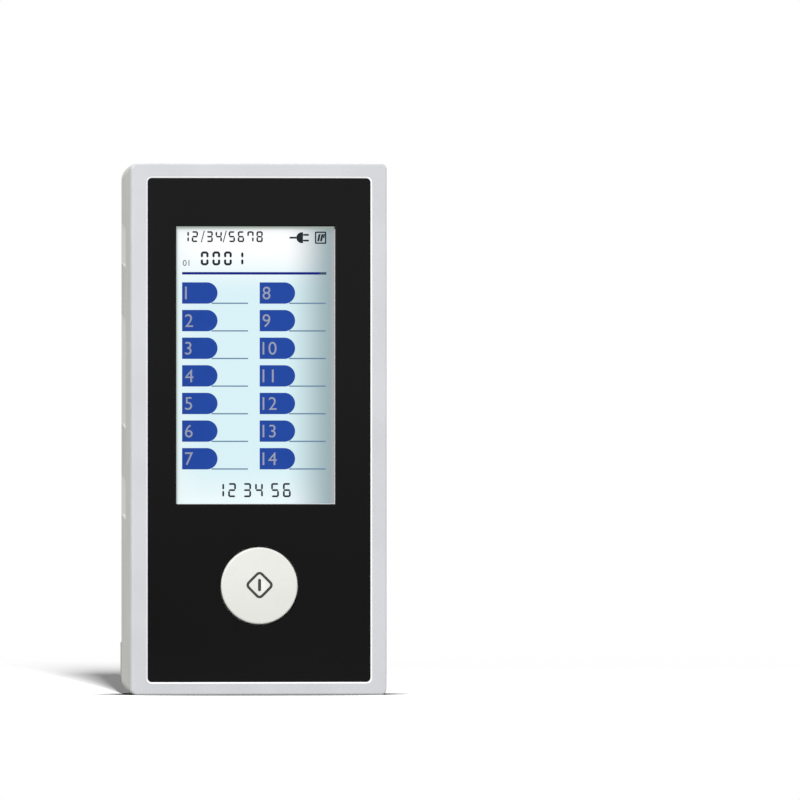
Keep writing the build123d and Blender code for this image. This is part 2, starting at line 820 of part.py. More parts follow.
# ================================================================ rear case
# Deep tub whose corners grow rounder towards the back: screw bosses, the well for the pack, the
# slot in the top end for the tray, the hole for the socket, and grip scoops in both sides.
well_outer_width = well_width + 2 * well_wall
well_outer_height = well_height + 2 * well_wall
with BuildPart() as rear_case:
    block(0, mid_z, body_width, body_height, split_y, rear_y)
    for side in (-1, 1):
        for end in (-1, 1):
            round_corner(side, end, front_corner_r, rear_corner_r)
    fillet(rear_case.faces().sort_by(Axis.Y)[-1].edges(), radius=rear_edge_r)
    block(0, mid_z, 2 * inner_half_width, body_height - 2 * wall, split_y, rear_wall_y,
          cavity_corner_r, mode=Mode.SUBTRACT)
    # Thick pads inside the rear wall, under the foot bar and round the pack's cover.
    span(-inner_half_width, inner_half_width, wall, foot_block_top_z, rear_wall_y - pad_thickness, rear_wall_y)
    block(0, cover_z, cover_width + 2 * pad_margin, cover_height + 2 * pad_margin,
          rear_wall_y - pad_thickness, rear_wall_y)
    block(0, cover_z, well_outer_width, well_outer_height, well_floor_y, rear_wall_y)
    block(0, cover_z, well_width, well_height, well_bottom_y, rear_y, well_corner_r, mode=Mode.SUBTRACT)
    block(0, cover_z, cover_width + 2 * cover_gap, cover_height + 2 * cover_gap, step_y, rear_y,
          cover_corner_r + cover_gap, mode=Mode.SUBTRACT)
    span(-cover_width / 2 - cover_gap, cover_width / 2 + cover_gap, cover_bottom_z - cover_gap, cover_z,
         step_y, rear_y, mode=Mode.SUBTRACT)
    # Slots for the cover's hooks, grooves for its catches and a hollow for the thumb.
    for side in (-1, 1):
        span(side * hook_x - hook_width / 2 - hook_slot_gap, side * hook_x + hook_width / 2 + hook_slot_gap,
             cover_bottom_z - hook_reach - hook_slot_gap, cover_bottom_z + hook_rise + hook_sweep + hook_slot_gap,
             hook_slot_y, step_y + hook_wall_gap, mode=Mode.SUBTRACT)
        block(side * catch_x, cover_top_z, catch_width + 2 * catch_groove_gap, 2 * (catch_height + cover_gap),
              catch_front_y - catch_groove_gap, catch_front_y + catch_thickness + catch_groove_gap,
              mode=Mode.SUBTRACT)
    peg(0, cover_top_z + cover_gap, thumb_r, rear_y - thumb_depth, rear_y, mode=Mode.SUBTRACT)
    block(0, label_z, label_width, label_height, rear_y - label_depth, rear_y, label_corner_r,
          mode=Mode.SUBTRACT)
    # Hole in the well's end wall for the pack's leads.
    block(connector_x, cover_z + well_height / 2 + well_wall / 2, lead_spacing + 2 * (lead_r + lead_hole_gap),
          2 * well_wall, lead_y - lead_r - lead_hole_gap, lead_y + lead_r + lead_hole_gap, mode=Mode.SUBTRACT)
    for side in (-1, 1):
        for z in case_screw_zs:
            peg(side * case_screw_x, z, boss_r, boss_front_y, rear_wall_y)
    for x, z in guide_screws:
        peg(x, z, post_r, plate_back_y, rear_wall_y)
        peg(x, z, case_screw_r + thread_clearance, plate_back_y, plate_back_y + guide_screw_bite + pilot_end_gap,
            mode=Mode.SUBTRACT)
    for side in (-1, 1):
        for z in case_screw_zs:
            peg(side * case_screw_x, z, case_screw_r + hole_clearance, boss_front_y, case_seat_y, mode=Mode.SUBTRACT)
            peg(side * case_screw_x, z, case_head_r + hole_clearance, case_seat_y, rear_y, mode=Mode.SUBTRACT)
        peg(side * case_screw_x, case_screw_zs[1], foot_pad_r + foot_pad_fit,
            rear_y - foot_pad_seat, rear_y, mode=Mode.SUBTRACT)
        for height, step in zip(scoop_heights, (1, 0, -1)):
            grip_scoop(scoop_middle_z + step * scoop_pitch, height, side)
    # Groove across the back for the foot bar.
    span(-body_width / 2, body_width / 2, foot_bar_bottom_z - foot_bar_fit, foot_bar_top_z + foot_bar_fit,
         rear_y - foot_bar_seat, rear_y, mode=Mode.SUBTRACT)
    # Slot in the top end for the tray, and the socket's hole in the right wall.
    with BuildSketch(Plane.XY.offset(top_z - wall)):
        with Locations((0, cap_y)):
            RectangleRounded(cap_width + 2 * cap_gap, cap_depth + 2 * cap_gap, cap_corner_r + cap_gap)
    extrude(amount=wall, mode=Mode.SUBTRACT)
    with BuildSketch(Plane.YZ.offset(inner_half_width)):
        with Locations((socket_mid_y, socket_z)):
            RectangleRounded(socket_height + 2 * socket_hole_gap, socket_width + 2 * socket_hole_gap,
                             socket_corner_r + socket_hole_gap)
    extrude(amount=wall, mode=Mode.SUBTRACT)
export(rear_case, "rear_case")

with BuildPart() as case_screws:
    for side in (-1, 1):
        for z in case_screw_zs:
            screw(side * case_screw_x, z, case_seat_y, case_screw_r, case_screw_length,
                  case_head_r, case_head_height, towards=-1)
export(case_screws, "case_screws")

# ================================================================ feet
# Full-width soft bar at the lower back, which tilts the display up when the unit lies on its back.
with BuildPart() as foot_bar:
    bar_half = body_width / 2 - foot_bar_side_gap
    span(-bar_half, bar_half, foot_bar_bottom_z, foot_bar_top_z, rear_y - foot_bar_seat + foot_bar_fit,
         rear_y + foot_bar_proud)
    fillet(foot_bar.faces().sort_by(Axis.Y)[-1].edges(), radius=foot_bar_edge_r)
export(foot_bar, "foot_bar")

# Two round pads that close the upper screw holes.
with BuildPart() as foot_pads:
    for side in (-1, 1):
        peg(side * case_screw_x, case_screw_zs[1], foot_pad_r, rear_y - foot_pad_seat, rear_y + foot_pad_proud)
    fillet(foot_pads.edges().group_by(Axis.Y)[-1], radius=foot_pad_edge_r)
export(foot_pads, "foot_pads")

# ================================================================ pack and cover
with BuildPart() as battery_pack:
    block(0, cover_z, pack_width, pack_height, pack_front_y, pack_back_y)
    fillet(battery_pack.edges().filter_by(Axis.Z), radius=pack_edge_r)
export(battery_pack, "battery_pack")

# Red and black leads: out of the pack's top edge, over and down into the connector.
lead_front_y = (board_back_y + connector_back_y) / 2
with BuildPart() as battery_leads:
    for step in (-0.5, 0.5):
        lead_x = connector_x + step * lead_spacing
        with BuildLine() as route:
            FilletPolyline(
                (lead_x, lead_y, pack_top_z),
                (lead_x, lead_y, lead_top_z),
                (lead_x, lead_front_y, lead_top_z),
                (lead_x, lead_front_y, connector_top_z),
                radius=lead_bend_r,
            )
        with BuildSketch(Plane.XY.offset(pack_top_z)):
            with Locations((lead_x, lead_y)):
                Circle(lead_r)
        sweep(path=route.wire())
export(battery_leads, "battery_leads")

# Cover of the pack's well. It rolls open on its round lower edge, held by two hooks that reach in
# behind the case's wall, and two catches hold its upper edge.
with BuildPart() as battery_cover:
    with BuildSketch(Plane.YZ.offset(-cover_width / 2)):
        with Locations((hinge_y, (hinge_z + cover_top_z) / 2)):
            Rectangle(cover_thickness, cover_top_z - hinge_z)
        with Locations((hinge_y, hinge_z)):
            Circle(hinge_r)
    extrude(amount=cover_width)
    fillet(battery_cover.edges().filter_by(Axis.Y).group_by(Axis.Z)[-1], radius=cover_corner_r)
    for side in (-1, 1):
        hook_left = side * hook_x - hook_width / 2
        hook_right = hook_left + hook_width
        span(hook_left, hook_right, cover_bottom_z - hook_reach, cover_bottom_z + hook_rise,
             hook_front_y, step_y)
        span(hook_left, hook_right, cover_bottom_z + hook_root, cover_bottom_z + hook_rise, step_y, hinge_y)
        span(side * catch_x - catch_width / 2, side * catch_x + catch_width / 2,
             cover_top_z, cover_top_z + catch_height, catch_front_y, catch_front_y + catch_thickness)
export(battery_cover, "battery_cover")

# ================================================================ tray guide
# Moulded floor screwed to the rear case, with a rail each side of the tray, the end stop, the
# motor's cradle and the posts of the optical head.
with BuildPart() as tray_guide:
    span(guide_left_x, guide_right_x, guide_bottom_z, guide_top_z, plate_front_y, plate_back_y)
    span(guide_right_x, wing_right_x, wing_bottom_z, wing_top_z, plate_front_y, plate_back_y)
    rail_in = tray_half_width + tray_side_gap
    left_out = -rail_in - rail_wall
    right_out = right_rail_x + rail_wall
    span(left_out, -rail_in, guide_bottom_z, guide_top_z, lip_front_y, plate_front_y)
    span(-rail_in, -rail_in + rail_lip, guide_bottom_z, guide_top_z, lip_front_y, lip_back_y)
    span(right_rail_x, right_out, guide_bottom_z, guide_top_z, lip_front_y, plate_front_y)
    span(rail_in - rail_lip, right_rail_x, guide_bottom_z, guide_top_z, lip_front_y, lip_back_y)
    span(left_out, right_out, guide_bottom_z, tray_bottom_z - tray_end_gap, lip_front_y, plate_front_y)
    # Opening in the right rail where the pinion reaches the rack.
    pinion_reach = gear_module * drive_pinion_teeth / 2 + addendum + pinion_opening_gap
    span(rail_in - rail_lip, drive_x, drive_z - pinion_reach, drive_z + pinion_reach,
         lip_front_y, plate_front_y, mode=Mode.SUBTRACT)
    # Seat for the tray sensor in the left rail.
    seat_half = home_sensor_half + home_sensor_fit
    span(left_out, -rail_in, home_sensor_z - seat_half, home_sensor_z + seat_half, lip_front_y, plate_front_y,
         mode=Mode.SUBTRACT)
    for side in (-1, 1):
        peg(side * head_ear_x, head_z, head_post_r, head_ear_back_y, plate_front_y)
        peg(side * head_ear_x, head_z, small_screw_r + thread_clearance, head_ear_back_y,
            head_ear_back_y + small_screw_length, mode=Mode.SUBTRACT)
    peg(motor_x, motor_z, motor_r + motor_fit + motor_cup_wall, plate_front_y - motor_cup_depth, plate_back_y)
    for x, z in motor_ears:
        peg(x, z, ear_r, motor_front_y, plate_back_y)
        peg(x, z, small_screw_r + thread_clearance, motor_front_y, motor_front_y + small_screw_length,
            mode=Mode.SUBTRACT)
    peg(motor_x, motor_z, motor_r + motor_fit, motor_front_y, plate_front_y, mode=Mode.SUBTRACT)
    peg(*guide_screws[-1], lug_r, plate_front_y, plate_back_y)
    for x, z in guide_screws:
        peg(x, z, case_screw_r + hole_clearance, plate_front_y, plate_back_y, mode=Mode.SUBTRACT)
    peg(drive_x, drive_z, axle_r + axle_press, plate_front_y, plate_back_y, mode=Mode.SUBTRACT)
export(tray_guide, "tray_guide")

with BuildPart() as guide_screw_set:
    for x, z in guide_screws:
        screw(x, z, plate_front_y, case_screw_r, guide_plate + guide_screw_bite,
              case_head_r, case_head_height, towards=1)
export(guide_screw_set, "guide_screws")

# Reflective sensor that finds the tray's closed position.
with BuildPart() as home_sensor:
    span(left_out + home_sensor_fit, -rail_in - home_sensor_fit, home_sensor_z - home_sensor_half,
         home_sensor_z + home_sensor_half, tray_front_y + home_sensor_setback, plate_front_y)
export(home_sensor, "home_sensor")

# ================================================================ strip tray
# White tray: a groove as wide as a strip, a pocket for the white tile, and a rack on its right edge.
pitch = math.pi * gear_module
slope = math.tan(math.radians(pressure_angle))
tooth_half = pitch / 4 - backlash / 2
rack_root_x = rack_pitch_x - dedendum
first_gap = math.ceil((rack_low_z - drive_z) / pitch + 1)
last_gap = math.floor((rack_high_z - drive_z) / pitch - 1)
with BuildPart() as strip_tray:
    span(-tray_half_width, tray_half_width, tray_bottom_z, tray_top_z, tray_front_y, tray_back_y)
    groove_half = strip_width / 2 + strip_groove_gap
    span(-groove_half, groove_half, strip_stop_z, tray_top_z, tray_front_y, groove_floor_y, mode=Mode.SUBTRACT)
    span(-groove_half, groove_half, tray_bottom_z + tile_margin, tray_bottom_z + tile_margin + tile_height,
         tray_front_y, groove_floor_y + tile_thickness, mode=Mode.SUBTRACT)
    span(-tongue_half_width, tongue_half_width, tray_top_z, tray_top_z + tongue_height,
         tongue_front_y, tongue_back_y)
    span(tray_half_width, rack_root_x, rack_low_z, rack_high_z, rack_front_y, rack_back_y)
    with BuildSketch(facing_front(rack_back_y)):
        for k in range(first_gap, last_gap):
            tooth_z = drive_z + (k + 0.5) * pitch
            with BuildLine():
                Polyline(
                    (rack_root_x - rack_root_lap, tooth_z - tooth_half - dedendum * slope),
                    (rack_root_x, tooth_z - tooth_half - dedendum * slope),
                    (rack_pitch_x + addendum, tooth_z - tooth_half + addendum * slope),
                    (rack_pitch_x + addendum, tooth_z + tooth_half - addendum * slope),
                    (rack_root_x, tooth_z + tooth_half + dedendum * slope),
                    (rack_root_x - rack_root_lap, tooth_z + tooth_half + dedendum * slope),
                    close=True,
                )
            make_face()
    extrude(amount=rack_face)
export(strip_tray, "strip_tray")

# White reference tile that the head reads before a strip.
with BuildPart() as reference_tile:
    span(-groove_half + tile_fit, groove_half - tile_fit, tray_bottom_z + tile_margin + tile_fit,
         tray_bottom_z + tile_margin + tile_height - tile_fit, groove_floor_y, groove_floor_y + tile_thickness)
export(reference_tile, "reference_tile")

# Cap on the tray's outer end, flush with the case, with a hollow for a fingertip.
with BuildPart() as tray_cap:
    with BuildSketch(Plane.XY.offset(tray_top_z)):
        with Locations((0, cap_y)):
            RectangleRounded(cap_width, cap_depth, cap_corner_r)
    extrude(amount=wall)
    fillet(tray_cap.faces().sort_by(Axis.Z)[-1].edges(), radius=cap_edge_r)
    span(-tongue_half_width - tongue_fit, tongue_half_width + tongue_fit, tray_top_z,
         tray_top_z + tongue_height + tongue_fit, tongue_front_y - tongue_fit,
         tongue_back_y + tongue_fit, mode=Mode.SUBTRACT)
    peg(0, top_z + notch_r - notch_depth, notch_r, cap_y - cap_depth / 2, cap_y - cap_depth / 2 + notch_run,
        mode=Mode.SUBTRACT)
export(tray_cap, "tray_cap")

# ================================================================ drive
motor_direction = math.degrees(math.atan2(motor_z - drive_z, motor_x - drive_x))
with BuildPart() as drive_gear:
    toothed(drive_x, drive_z, drive_gear_teeth, motor_direction, gear_front_y, gear_back_y)
    peg(drive_x, drive_z, hub_r, gear_front_y, rack_front_y - gear_plate_gap)
    toothed(drive_x, drive_z, drive_pinion_teeth, 180.0, rack_front_y - gear_plate_gap, plate_front_y - gear_plate_gap)
    peg(drive_x, drive_z, axle_r + axle_clearance, gear_front_y, plate_front_y, mode=Mode.SUBTRACT)
export(drive_gear, "drive_gear")

with BuildPart() as gear_axle:
    peg(drive_x, drive_z, axle_r, axle_front_y, plate_back_y)
    peg(drive_x, drive_z, axle_r + axle_collar, plate_front_y - axle_collar_height, plate_front_y)
export(gear_axle, "gear_axle")

# Clip on the axle's end that keeps the gear on.
with BuildPart() as axle_clip:
    peg(drive_x, drive_z, clip_r, gear_front_y - clip_gap - clip_thickness, gear_front_y - clip_gap)
    peg(drive_x, drive_z, axle_r, gear_front_y - 1, gear_front_y, mode=Mode.SUBTRACT)
    block(drive_x + clip_r / 2 + clip_root, drive_z, clip_r, clip_mouth,
          gear_front_y - 1, gear_front_y, mode=Mode.SUBTRACT)
export(axle_clip, "axle_clip")

with BuildPart() as motor:
    peg(motor_x, motor_z, motor_r, motor_front_y, plate_front_y)
    fillet(motor.edges().group_by(Axis.Y)[-1], radius=motor_edge_r)
    peg(motor_x, motor_z, motor_shaft_r + shaft_bore_gap, motor_front_y, plate_front_y - shaft_end_gap,
        mode=Mode.SUBTRACT)
export(motor, "motor")

# Steel plate that clamps the motor in its cradle.
with BuildPart() as motor_clamp:
    with BuildSketch(facing_front(motor_front_y)):
        with Locations((motor_x, motor_z)):
            Circle(motor_r)
            SlotCenterToCenter(2 * ear_reach, 2 * ear_r, rotation=ear_angle)
            Circle(motor_boss_r, mode=Mode.SUBTRACT)
        with Locations(*motor_ears):
            Circle(small_screw_r + hole_clearance, mode=Mode.SUBTRACT)
    extrude(amount=motor_plate)
export(motor_clamp, "motor_clamp")

with BuildPart() as motor_screws:
    for x, z in motor_ears:
        screw(x, z, motor_plate_y, small_screw_r, small_screw_length, small_head_r, small_head_height, towards=1)
export(motor_screws, "motor_screws")

with BuildPart() as motor_pinion:
    toothed(motor_x, motor_z, motor_pinion_teeth, motor_direction + 180 + 180 / motor_pinion_teeth,
            gear_front_y - pinion_overhang, gear_back_y + pinion_overhang)
    peg(motor_x, motor_z, motor_shaft_r, gear_front_y - pinion_overhang, gear_back_y + pinion_overhang,
        mode=Mode.SUBTRACT)
export(motor_pinion, "motor_pinion")

with BuildPart() as motor_shaft:
    peg(motor_x, motor_z, motor_shaft_r, gear_front_y - pinion_overhang - shaft_overhang,
        plate_front_y - shaft_end_gap - shaft_tip_gap)
export(motor_shaft, "motor_shaft")

# ================================================================ optical head
with BuildPart() as head_housing:
    block(0, head_z, head_width, head_height, head_front_y, head_back_y, head_corner_r)
    span(-head_ear_x - head_post_r, head_ear_x + head_post_r, head_z - head_ear_height / 2,
         head_z + head_ear_height / 2, head_ear_back_y - head_ear_thickness, head_ear_back_y)
    for side in (-1, 1):
        peg(side * head_ear_x, head_z, small_screw_r + hole_clearance, head_front_y, head_back_y, mode=Mode.SUBTRACT)
        for rise in (-1, 1):
            peg(side * led_offset_x, head_z + rise * led_offset_z, led_bore_r, head_front_y, head_back_y,
                mode=Mode.SUBTRACT)
    peg(0, head_z, sensor_bore_r, head_front_y, head_back_y, mode=Mode.SUBTRACT)
export(head_housing, "head_housing")

with BuildPart() as head_lens:
    peg(0, head_z, sensor_bore_r, head_back_y - lens_setback - lens_thickness, head_back_y - lens_setback)
export(head_lens, "head_lens")

with BuildPart() as head_board_plate:
    block(0, head_z, head_width, head_height, head_board_front_y, head_front_y, head_corner_r)
export(head_board_plate, "head_board")

with BuildPart() as head_leds:
    for side in (-1, 1):
        for rise in (-1, 1):
            peg(side * led_offset_x, head_z + rise * led_offset_z, led_r, head_front_y, head_front_y + led_height)
export(head_leds, "head_leds")

with BuildPart() as colour_sensor:
    block(0, head_z, sensor_size, sensor_size, head_front_y, head_front_y + sensor_height)
export(colour_sensor, "colour_sensor")

# Solder pads that join the head's board to the main board.
with BuildPart() as head_pins:
    for k in range(5):
        block((k - 2) * head_pin_pitch, head_z + head_pin_rise, head_pin_size, head_pin_size,
              board_back_y, head_board_front_y)
export(head_pins, "head_pins")

with BuildPart() as head_screws:
    for side in (-1, 1):
        screw(side * head_ear_x, head_z, head_ear_back_y - head_ear_thickness, small_screw_r,
              small_screw_length + head_ear_thickness - screw_end_gap, small_head_r, small_head_height, towards=1)
export(head_screws, "head_screws")
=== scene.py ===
import json
import math

import bpy
import numpy as np
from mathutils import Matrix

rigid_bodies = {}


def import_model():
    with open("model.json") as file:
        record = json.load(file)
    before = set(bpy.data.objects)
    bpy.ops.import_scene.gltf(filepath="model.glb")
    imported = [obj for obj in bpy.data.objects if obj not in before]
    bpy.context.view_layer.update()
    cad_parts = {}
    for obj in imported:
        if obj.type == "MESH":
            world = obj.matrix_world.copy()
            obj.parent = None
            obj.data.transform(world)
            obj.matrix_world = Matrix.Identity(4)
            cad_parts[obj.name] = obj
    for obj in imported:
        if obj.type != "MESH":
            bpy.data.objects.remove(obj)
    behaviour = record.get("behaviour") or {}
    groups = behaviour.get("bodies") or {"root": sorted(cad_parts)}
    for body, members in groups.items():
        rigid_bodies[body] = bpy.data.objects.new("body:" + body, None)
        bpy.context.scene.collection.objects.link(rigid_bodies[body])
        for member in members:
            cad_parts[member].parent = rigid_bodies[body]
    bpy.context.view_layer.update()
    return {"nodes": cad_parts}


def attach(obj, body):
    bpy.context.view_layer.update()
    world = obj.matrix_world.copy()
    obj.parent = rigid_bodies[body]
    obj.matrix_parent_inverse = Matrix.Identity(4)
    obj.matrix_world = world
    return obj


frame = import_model()
nodes = frame["nodes"]
MM = 0.001


# ================================================================ front frame
# Moulded frame round the face, sprayed a fine satin silver. Its inner edge, where the black panel is
# let in, is a bright-cut chamfer; its near-white colour is partly a painted highlight, and it has a
# painted glow. It clips and screws to the rear case.
class Wire:
    """A value or colour in a node tree. Python's operators on it add Math nodes."""

    def __init__(self, nodes, socket):
        self.nodes = nodes
        self.socket = socket

    def maths(self, operation, *values):
        return self.nodes.add("ShaderNodeMath", {"operation": operation}, dict(enumerate(values)))

    def __add__(self, other):
        return self.maths("ADD", self, other)

    def __rsub__(self, other):
        return self.maths("SUBTRACT", other, self)

    def __mul__(self, other):
        return self.maths("MULTIPLY", self, other)

    def __abs__(self):
        return self.maths("ABSOLUTE", self)

    __radd__ = __add__
    __rmul__ = __mul__

    def sine(self):
        return self.maths("SINE", self)

    def root(self):
        return self.maths("SQRT", self)

    def larger(self, other):
        return self.maths("MAXIMUM", self, other)

    def above(self, low, high):
        """0 below low, 1 above high, and a smooth rise between the two."""
        settings = {"interpolation_type": "SMOOTHSTEP"}
        sockets = {"Value": self, "From Min": low, "From Max": high}
        return self.nodes.add("ShaderNodeMapRange", settings, sockets)

    def between(self, low, high, soft):
        """1 between low and high, with edges as soft as given, and 0 outside."""
        return self.above(low - soft, low + soft) * (1.0 - self.above(high - soft, high + soft))


class NodeTree:
    """A node tree that is filled by one method, for a material or the surround."""

    def __init__(self, tree):
        self.tree = tree

    def plug(self, socket, value):
        if isinstance(value, Wire):
            self.tree.links.new(value.socket, socket)
        elif isinstance(value, tuple) and len(value) == 3 and socket.type == "RGBA":
            socket.default_value = (*value, 1.0)
        else:
            socket.default_value = value

    def add(self, kind, settings=None, sockets=None, output=0):
        """Adds a node: first its settings, then the values or wires of its sockets."""
        node = self.tree.nodes.new(kind)
        for key, value in (settings or {}).items():
            setattr(node, key, value)
        for key, value in (sockets or {}).items():
            self.plug(node.inputs[key], value)
        return Wire(self, node.outputs[output])


class Finish(NodeTree):
    """A material with one Principled shader. Its constant sockets are set here and the rest by plug."""

    def __init__(self, name, colour, roughness, **sockets):
        self.material = bpy.data.materials.new(name)
        self.material.use_nodes = True
        super().__init__(self.material.node_tree)
        self.shader = self.tree.nodes["Principled BSDF"]
        self.colour(colour)
        self.rough(roughness)
        for socket, value in sockets.items():
            self.plug(self.shader.inputs[socket.replace("_", " ")], value)

    def place(self):
        """The point's x, y and z on the piece, in millimetres."""
        spot = self.add("ShaderNodeTexCoord", output=3)
        big = self.add("ShaderNodeVectorMath", {"operation": "SCALE"}, {0: spot, "Scale": 1 / MM})
        return [self.add("ShaderNodeSeparateXYZ", None, {0: big}, output=axis) for axis in range(3)]

    def facing(self):
        """The surface's own normal, as x, y and z."""
        normal = self.add("ShaderNodeTexCoord", output=1)
        return [self.add("ShaderNodeSeparateXYZ", None, {0: normal}, output=axis) for axis in range(3)]

    def grain(self, grain_mm, detail=2.0, stretch=(1.0, 1.0, 1.0)):
        """Noise from 0 to 1 with grains about grain_mm across, drawn out along the axes by stretch."""
        spot = self.add("ShaderNodeTexCoord", output=3)
        drawn = self.add("ShaderNodeMapping", None, {"Vector": spot, "Scale": stretch})
        sockets = {"Vector": drawn, "Scale": 1 / (grain_mm * MM), "Detail": detail}
        return self.add("ShaderNodeTexNoise", None, sockets)

    def blend(self, amount, first, second):
        """A colour that goes from first to second as amount goes from 0 to 1. The numbers are the Mix
        node's sockets for its factor and its two colours, and its colour output."""
        sockets = {0: amount, 6: first, 7: second}
        return self.add("ShaderNodeMix", {"data_type": "RGBA"}, sockets, output=2)

    def emboss(self, height_mm, strength=1.0):
        """Raises the surface by height_mm, a wire in millimetres."""
        sockets = {"Strength": strength, "Distance": MM, "Height": height_mm}
        self.plug(self.shader.inputs["Normal"], self.add("ShaderNodeBump", None, sockets))

    def colour(self, value):
        self.plug(self.shader.inputs["Base Color"], value)

    def rough(self, value):
        self.plug(self.shader.inputs["Roughness"], value)

    def shine(self, value):
        self.plug(self.shader.inputs["Emission Color"], value)

    def dress(self, *names):
        """Gives this finish to CAD nodes."""
        for name in names:
            obj = nodes[name]
            if not obj.material_slots:
                obj.data.materials.append(self.material)
            for place in obj.material_slots:
                place.material = self.material


def paint(red, green, blue):
    """A colour as the eye reads it, 0 to 255, turned into the linear light that the shader wants."""
    share = np.array((red, green, blue)) / 255
    linear = np.where(share <= 0.04045, share / 12.92, ((share + 0.055) / 1.055) ** 2.4)
    return tuple(float(v) for v in linear)


silver = Finish("satin_silver", paint(214, 217, 221), 0.38,
                Coat_Weight=0.25, Coat_Roughness=0.3, Emission_Strength=1.0)
flake = silver.grain(0.09, 1.0)
mottle = silver.grain(14.0)
normal_x, normal_y, normal_z = silver.facing()
cut_edge = abs(normal_y).between(0.5, 0.9, 0.08)
silver_x, silver_y, silver_z = silver.place()
panel_reach, panel_low, panel_high = 24.35, 2.2, 109.8
inside = abs(silver_x).between(0, panel_reach, 0.05) * silver_z.between(panel_low, panel_high, 0.05)
bright_cut_and_glow = cut_edge * inside
body_tone = silver.blend(mottle.above(0.3, 0.7), paint(208, 210, 214), paint(214, 216, 220))
sparkle_tone = silver.blend(flake.above(0.55, 0.75) * 0.35, body_tone, paint(236, 238, 242))
# The bezel chamfer's near-white colour: bright-cut finish and painted highlight.
silver.colour(silver.blend(bright_cut_and_glow, sparkle_tone, paint(250, 251, 252)))
silver.rough(0.42 - 0.22 * bright_cut_and_glow + 0.08 * flake)
# Painted glow on the bezel chamfer, stronger on the chamfer that faces down, which lies in shade.
downward = 1.0 - normal_z.above(-0.4, -0.1)
painted_edge_glow = silver.blend(downward, (0.16, 0.16, 0.16), (0.4, 0.4, 0.4))
silver.shine(silver.blend(bright_cut_and_glow, (0.0, 0.0, 0.0), painted_edge_glow))
silver.emboss(0.004 * flake)
silver.dress("front_frame")

# ================================================================ front panel
# Black glossy acrylic sheet, printed black from behind and glued into the frame's seat. The window's
# cut edge has a painted highlight: its right and lower sides are coloured near-white.
window_left, window_right = -17.5, 16.0
window_low, window_high = 40.3, 98.7
black = Finish("black_panel", paint(17, 17, 17), 0.07, Specular_IOR_Level=0.12)
panel_x, panel_y, panel_z = black.place()
right_rim = panel_x.between(window_right - 0.1, window_right + 0.08, 0.04) * panel_z.between(
    window_low - 0.1, window_high - 0.6, 0.05)
lower_rim = panel_z.between(window_low - 0.1, window_low + 0.1, 0.04) * panel_x.between(
    window_left + 0.1, window_right + 0.08, 0.05)
painted_rim_highlight = right_rim.larger(lower_rim)
smear = black.grain(22.0, 3.0, (1.0, 1.0, 0.45))
# Painted highlight: near-white on the window rim's right and lower sides.
black.colour(black.blend(painted_rim_highlight, paint(17, 17, 17), paint(225, 228, 230)))
black.rough(0.05 + 0.09 * smear + 0.2 * painted_rim_highlight)
black.emboss(0.0008 * black.grain(0.5, 1.0))
black.dress("front_panel")

# ================================================================ display
# Pale segment display behind the window, lit from behind. It is whitest at the top, cool in the
# middle and lighter near the bottom and left. Its darker right side is painted shade, and partly
# weaker backlight. Its top and left edges are painted shade of the window's edges, a darker grey
# green, and a greyish pink band runs just inside its right edge.
pale = Finish("display_field", paint(218, 240, 246), 0.2,
              Specular_IOR_Level=0.1, Emission_Strength=0.68)
field_x, field_y, field_z = pale.place()
cool = pale.blend(field_z.above(84.0, 95.0), paint(214, 238, 243), (0.98, 0.99, 1.0))
low_glow = 1.0 - field_z.above(41.0, 49.0)
cool = pale.blend(low_glow * 0.5, cool, paint(243, 249, 250))
left_glow = 1.0 - field_x.above(window_left, -11.0)
cool = pale.blend(left_glow * 0.45, cool, paint(240, 250, 251))
# Painted shade, and partly weaker backlight: darker towards the right.
painted_right_shade = field_x.above(5.0, 16.5)
cool = pale.blend(painted_right_shade, cool, paint(150, 170, 175))
# Painted shade of the window's top and left edges: a darker grey green there.
clear_of_edge_shade = (1.0 - field_z.above(window_high - 0.9, window_high)) * field_x.above(window_left, -16.9)
rosy = pale.blend(field_x.above(15.0, 15.8) * 0.6, cool, paint(184, 176, 176))
lit_field = pale.blend(clear_of_edge_shade, paint(176, 190, 180), rosy)
pale.colour(pale.blend(0.64, lit_field, (0.0, 0.0, 0.0)))
pale.shine(lit_field)
pale.rough(0.2 + 0.05 * pale.grain(0.3))
pale.dress("display_glass")


def slabs(name, shapes, face_y, depth, finish, body):
    """One mesh of flat plates. Each shape is (z, left, right): the plate fills left <= x <= right at
    each z, from face_y back to face_y + depth, and is closed all round. Sizes in millimetres."""
    points = []
    faces = []
    count = 0
    for heights, left, right in shapes:
        edges = [np.asarray(edge, float) for edge in (heights, left, right)]
        heights, left, right = np.broadcast_arrays(*edges)
        rows = len(heights)
        corner_x = np.stack([left, right, right, left], axis=1)
        corner_y = np.broadcast_to([face_y, face_y, face_y + depth, face_y + depth], (rows, 4))
        corner_z = np.repeat(heights[:, None], 4, axis=1)
        points.append(np.stack([corner_x, corner_y, corner_z], axis=2).reshape(-1, 3))
        row = np.arange(rows - 1)[:, None] * 4
        side = np.arange(4)[None, :]
        following = (side + 1) % 4
        quads = np.stack([row + side, row + following, row + 4 + following, row + 4 + side], axis=2)
        caps = [[3, 2, 1, 0], [4 * rows - 4, 4 * rows - 3, 4 * rows - 2, 4 * rows - 1]]
        faces.append(np.concatenate([quads.reshape(-1, 4), caps]) + count)
        count += 4 * rows
    piece(name, np.concatenate(points), np.concatenate(faces), finish, body)


def piece(name, points, faces, finish, body):
    """A new piece of the object from points in millimetres, with its finish, that moves with a body."""
    mesh = bpy.data.meshes.new(name)
    mesh.from_pydata((points * MM).tolist(), [], [[int(corner) for corner in face] for face in faces])
    mesh.materials.append(finish.material)
    mesh.update()
    obj = bpy.data.objects.new(name, mesh)
    bpy.context.scene.collection.objects.link(obj)
    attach(obj, body)


